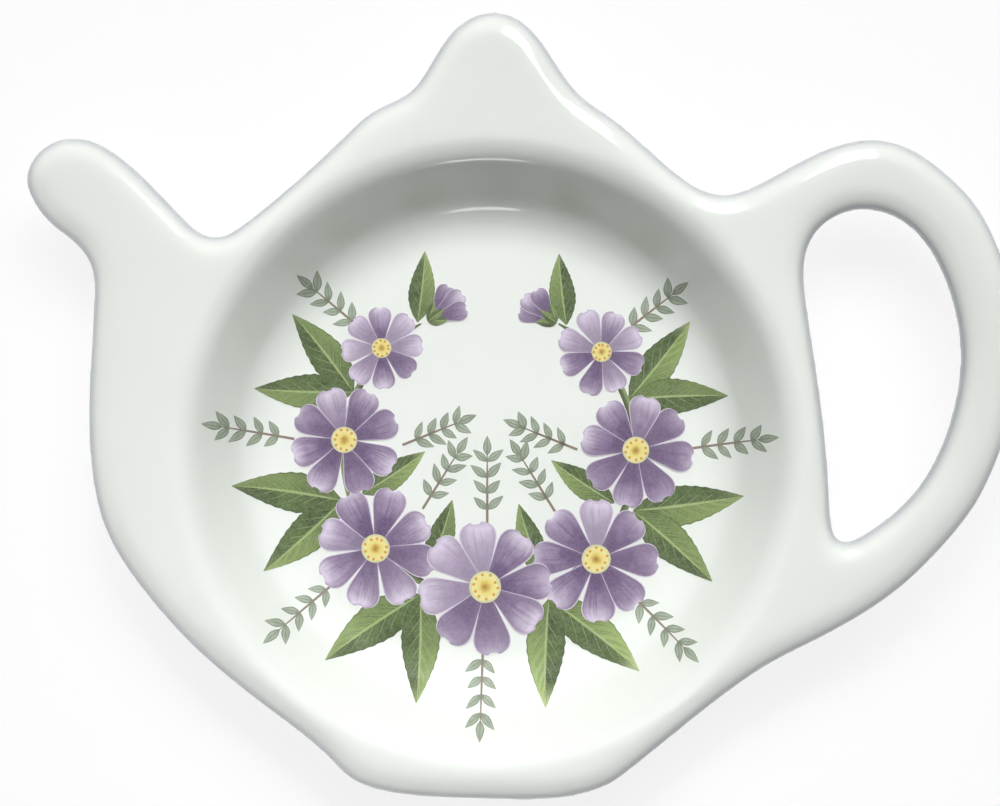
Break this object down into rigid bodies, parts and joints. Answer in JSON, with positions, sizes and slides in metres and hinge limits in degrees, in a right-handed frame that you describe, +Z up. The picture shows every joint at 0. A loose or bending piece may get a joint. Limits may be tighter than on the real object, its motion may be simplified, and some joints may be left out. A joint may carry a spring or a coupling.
{
  "type": "tea bag rest",
  "caption": "Porcelain rest for used tea bags in the outline of a teapot, with a round well, a looped handle and a fired-on floral print.",
  "frame": {"origin": "on the table, under the middle of the plate's outline", "axes": "+X from the spout towards the handle, +Y from the flat base towards the lid's knob, +Z up out of the well"},
  "size_m": [0.1274, 0.101, 0.0146],
  "materials": {
    "glazed_porcelain": "clear glossy glaze over white porcelain, bare on the foot ring's standing face",
    "lilac_print": "ceramic colour fired onto the glaze, glossy",
    "yellow_print": "ceramic colour fired onto the glaze, glossy",
    "leaf_green_print": "ceramic colour fired onto the glaze, glossy",
    "olive_print": "ceramic colour fired onto the glaze, glossy",
    "grey_green_print": "ceramic colour fired onto the glaze, glossy"
  },
  "bodies": {
    "root": {"porcelain_body": "glazed_porcelain", "print_petals": "lilac_print", "print_eyes": "yellow_print", "print_leaves": "leaf_green_print", "print_stems": "olive_print", "print_sprigs": "grey_green_print"}
  },
  "joints": []
}
